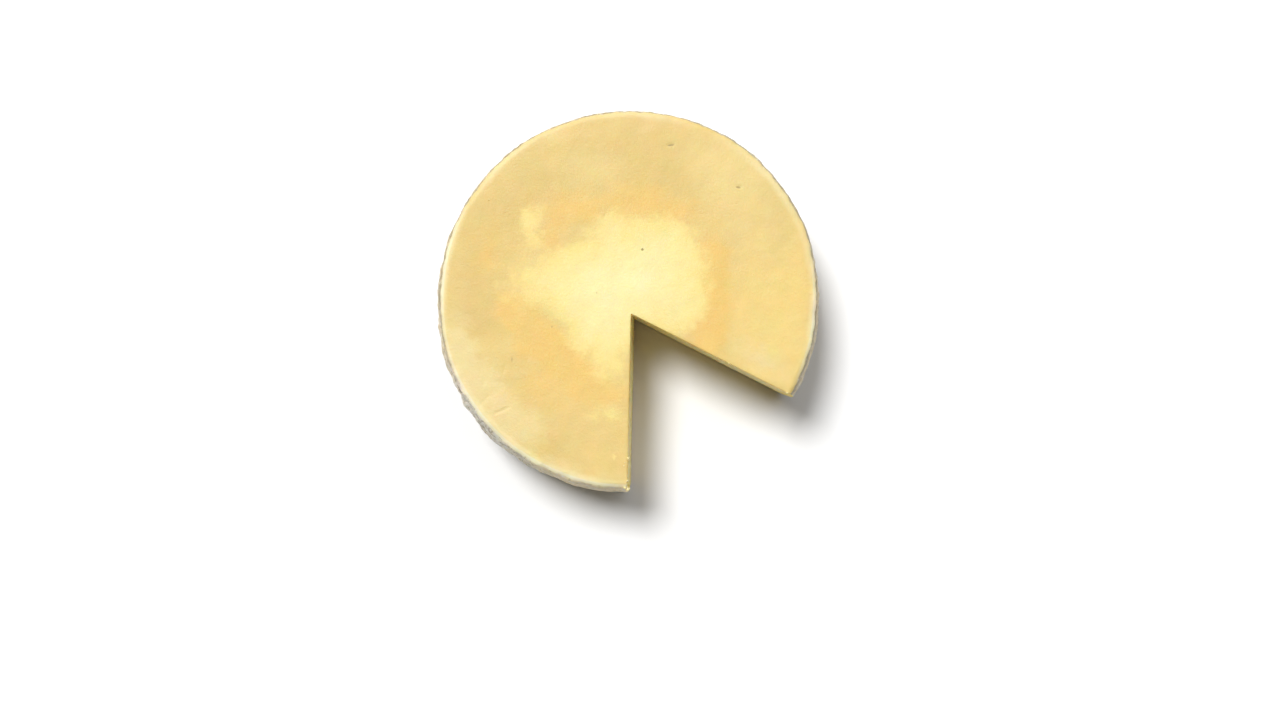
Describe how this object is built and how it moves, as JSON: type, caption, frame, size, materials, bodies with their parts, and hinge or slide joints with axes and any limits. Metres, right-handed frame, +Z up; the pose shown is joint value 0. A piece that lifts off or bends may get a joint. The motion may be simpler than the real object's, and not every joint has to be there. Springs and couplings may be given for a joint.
{
  "type": "minas cheese wheel with a wedge cut out",
  "caption": "Low round wheel of pale yellow minas cheese with rounded rims, a swollen rough side and one wedge cut out down to the base.",
  "frame": {"origin": "middle of the flat underside, on the wheel's own axis", "axes": "+Z up through the wheel, +X to the right and +Y away from the viewer in the picture's view from above; the missing wedge opens towards -Y and +X"},
  "size_m": [0.1658, 0.1654, 0.0464],
  "materials": {
    "cheese": "semi-hard cheese: satin yellow rind with amber blotches, rough greyish side, smooth ivory paste on the cuts"
  },
  "bodies": {
    "root": {"cheese_wheel": "cheese"}
  },
  "joints": []
}
